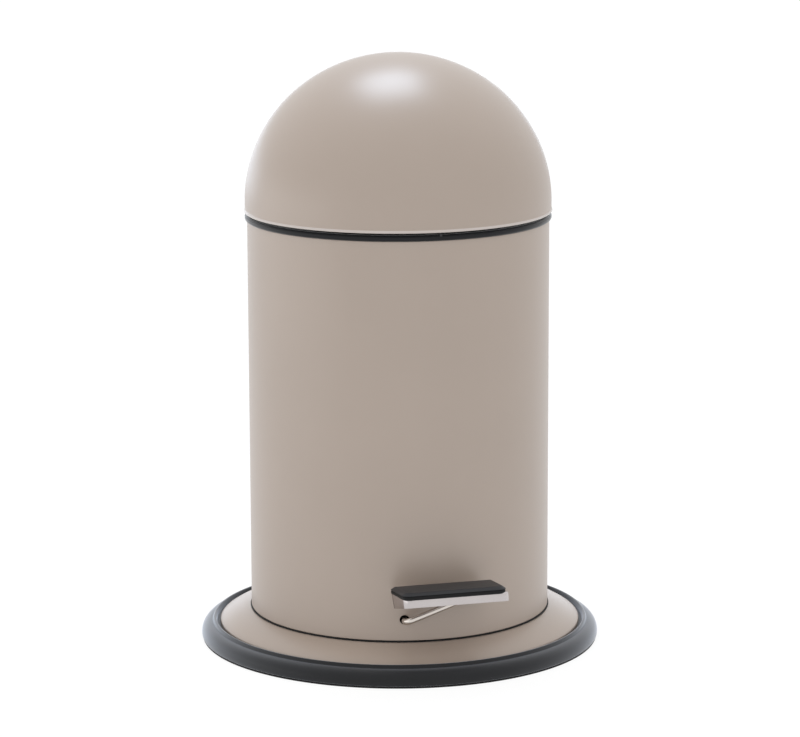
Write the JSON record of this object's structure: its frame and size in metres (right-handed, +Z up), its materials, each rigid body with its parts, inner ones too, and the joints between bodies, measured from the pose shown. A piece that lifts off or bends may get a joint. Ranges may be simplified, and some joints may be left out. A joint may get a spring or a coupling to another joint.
{
  "type": "pedal waste bin",
  "caption": "Round dome-lidded pedal waste bin: painted steel tube on a flared foot with a rubber floor ring, a side pedal that lifts the hinged lid, and a removable inner bucket.",
  "frame": {"origin": "on the floor, on the axis of the round bin", "axes": "+Z up along the bin's axis, -Y to the front where the pedal is, +X to the right seen from the front"},
  "size_m": [0.2228, 0.2263, 0.3306],
  "materials": {
    "painted_steel": "satin taupe powder coat",
    "rubber_ring": "matt dark grey rubber",
    "black_plastic": "matt black moulded plastic",
    "collar_plastic": "satin black moulded plastic",
    "zinc_steel": "zinc-plated steel",
    "bright_wire": "bright drawn steel wire",
    "polished_steel": "polished stainless steel",
    "pad_rubber": "smooth black rubber",
    "bucket_plastic": "matt black moulded plastic"
  },
  "bodies": {
    "housing": {"base_skirt": "painted_steel", "floor_ring": "rubber_ring", "body_shell": "painted_steel", "base_insert": "black_plastic", "base_screws": "zinc_steel", "front_shaft_clip": "zinc_steel", "rear_shaft_clip": "zinc_steel", "clip_screws": "zinc_steel", "collar": "collar_plastic", "hinge_pin": "zinc_steel", "rod_guide": "zinc_steel", "lid_buffers": "pad_rubber"},
    "pedal": {"pedal_wire": "bright_wire", "pedal_plate": "polished_steel", "pedal_pad": "pad_rubber", "pedal_saddle": "zinc_steel"},
    "rod": {"lift_rod": "bright_wire", "rod_shoe": "black_plastic", "rod_cap": "black_plastic"},
    "lid": {"lid_dome": "painted_steel", "lid_hinge_bracket": "zinc_steel", "lid_rivets": "zinc_steel"},
    "pail": {"bucket": "bucket_plastic"},
    "bail": {"bucket_handle": "bright_wire"}
  },
  "joints": [
    {"name": "lid_hinge", "type": "hinge", "parent": "housing", "child": "lid", "pos_m": [0, 0.0895, 0.246], "axis": [-1, 0, 0], "range_deg": [0, 66]},
    {"name": "pedal_press", "type": "hinge", "parent": "housing", "child": "pedal", "pos_m": [0, 0, 0.0306], "axis": [0.2368, 0.9715, 0], "range_deg": [0, 26]},
    {"name": "rod_lift", "type": "slide", "parent": "housing", "child": "rod", "axis": [0, 0, 1], "range_m": [0, 0.01754]},
    {"name": "bucket_lift", "type": "slide", "parent": "housing", "child": "pail", "axis": [0, 0, 1], "range_m": [0, 0.012]},
    {"name": "handle_swing", "type": "hinge", "parent": "pail", "child": "bail", "pos_m": [0, 0, 0.2378], "axis": [-1, 0, 0], "range_deg": [0, 180]}
  ],
  "couplings": [
    {"joint": "pedal_press", "follows": "lid_hinge", "ratio": 0.39394},
    {"joint": "rod_lift", "follows": "lid_hinge", "m_per_rad": 0.015227}
  ]
}
